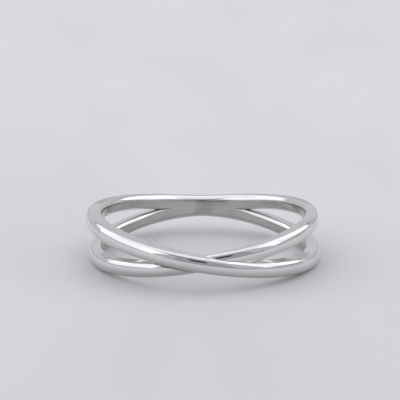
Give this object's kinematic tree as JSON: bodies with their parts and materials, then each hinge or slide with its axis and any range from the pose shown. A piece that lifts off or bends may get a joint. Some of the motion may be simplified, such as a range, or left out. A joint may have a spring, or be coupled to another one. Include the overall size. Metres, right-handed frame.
{
  "type": "crossover ring",
  "caption": "Polished white-metal crossover ring: slim bands with a rounded outer face cross at the front, part at the sides and join in a plain shank at the back.",
  "frame": {"origin": "centre of the finger hole, half way up the ring as it lies on its side", "axes": "+Z along the finger hole's axis, upwards as the ring lies; -Y towards the crossing; the over-band is high at -X and low at +X"},
  "size_m": [0.0202, 0.02, 0.0044],
  "materials": {
    "polished_silver": "mirror polished, rhodium-plated sterling silver"
  },
  "bodies": {
    "root": {"crossover_band": "polished_silver"}
  },
  "joints": []
}
